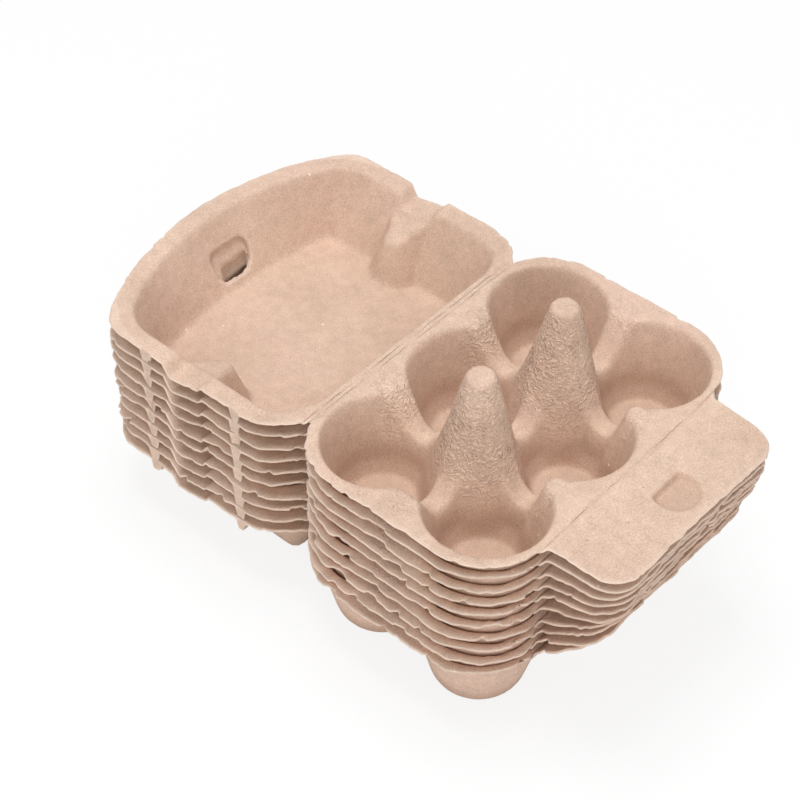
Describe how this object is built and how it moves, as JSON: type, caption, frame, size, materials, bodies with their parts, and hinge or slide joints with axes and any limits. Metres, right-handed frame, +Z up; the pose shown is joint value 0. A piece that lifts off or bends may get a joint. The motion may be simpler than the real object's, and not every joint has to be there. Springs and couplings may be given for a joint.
{
  "type": "stack of pulp egg cartons",
  "caption": "Nested stack of open moulded-pulp egg boxes, each one moulding with cells and posts, a hinged lid lying open and a front flap.",
  "frame": {"origin": "middle of the stack's box on the plane that it stands on, the undersides of the lowest cells and lid", "axes": "+X from the open lids to the front flaps, +Y along the hinges, +Z up the stack"},
  "size_m": [0.2452, 0.149, 0.1235],
  "materials": {
    "pulp": "matte moulded paper pulp, pinkish tan, with visible fibres"
  },
  "bodies": {
    "root": {"carton_01": "pulp", "carton_02": "pulp", "carton_03": "pulp", "carton_04": "pulp", "carton_05": "pulp", "carton_06": "pulp", "carton_07": "pulp", "carton_08": "pulp", "carton_09": "pulp", "carton_10": "pulp"}
  },
  "joints": []
}
